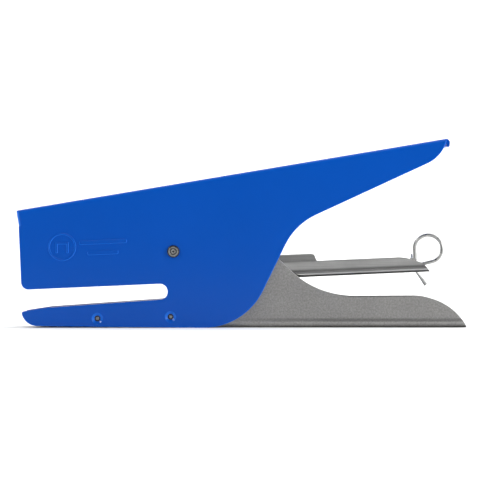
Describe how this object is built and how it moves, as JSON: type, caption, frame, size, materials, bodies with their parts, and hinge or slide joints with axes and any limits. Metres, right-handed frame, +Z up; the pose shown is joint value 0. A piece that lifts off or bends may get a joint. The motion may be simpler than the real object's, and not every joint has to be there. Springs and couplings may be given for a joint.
{
  "type": "plier stapler",
  "caption": "Hand plier stapler: folded painted body with lower jaw, channel squeeze lever, swinging staple magazine with a spring follower and a wire pull ring.",
  "frame": {"origin": "centre of the overall footprint, on the surface the tool stands on", "axes": "+Z up, -X towards the mouth, +X towards the handles, Y across the tool"},
  "size_m": [0.1603, 0.0176, 0.0673],
  "materials": {
    "blue_paint": "satin gloss",
    "bare_steel": "fine grained",
    "rail_steel": "brushed",
    "zinc_wire": "bright zinc",
    "hard_steel": "ground"
  },
  "bodies": {
    "body": {"body_shell": "blue_paint", "anvil": "hard_steel", "jaw_rivets": "bare_steel", "pivot_pin": "bare_steel", "pivot_bush": "bare_steel", "outer_washers": "bare_steel", "return_spring": "zinc_wire"},
    "lever": {"handle_lever": "bare_steel", "inner_washers": "bare_steel", "hammer_block": "hard_steel", "hammer_pins": "bare_steel", "driver_blade": "hard_steel", "driver_rivets": "bare_steel", "spring_pin": "bare_steel"},
    "magazine": {"magazine_channel": "rail_steel", "staple_core": "rail_steel", "nose_plate": "hard_steel", "spring_bridge": "rail_steel", "lift_spring": "zinc_wire"},
    "rod": {"feed_rod": "zinc_wire", "spring_seat": "rail_steel", "follower_spring": "zinc_wire"},
    "follower": {"staple_follower": "rail_steel", "follower_block": "rail_steel"}
  },
  "joints": [
    {"name": "lever_squeeze", "type": "hinge", "parent": "body", "child": "lever", "pos_m": [-0.02428, 0, 0.0271], "axis": [0, -1, 0], "range_deg": [0, 14.4], "stiffness_Nm_per_rad": 1.5, "springref_deg": -14.32, "deforming": ["return_spring", "lift_spring"]},
    {"name": "magazine_drop", "type": "hinge", "parent": "body", "child": "magazine", "pos_m": [-0.02428, 0, 0.0271], "axis": [0, -1, 0], "range_deg": [0, 8.1]},
    {"name": "rod_pull", "type": "slide", "parent": "magazine", "child": "rod", "axis": [0.999, 0, 0.0436], "range_m": [0, 0.135]},
    {"name": "follower_slide", "type": "slide", "parent": "rod", "child": "follower", "axis": [0.999, 0, 0.0436], "range_m": [0, 0.06], "stiffness_N_per_m": 28, "springref_m": -0.08, "deforming": ["follower_spring"]}
  ],
  "couplings": [
    {"joint": "magazine_drop", "follows": "lever_squeeze", "ratio": 0.5625}
  ]
}
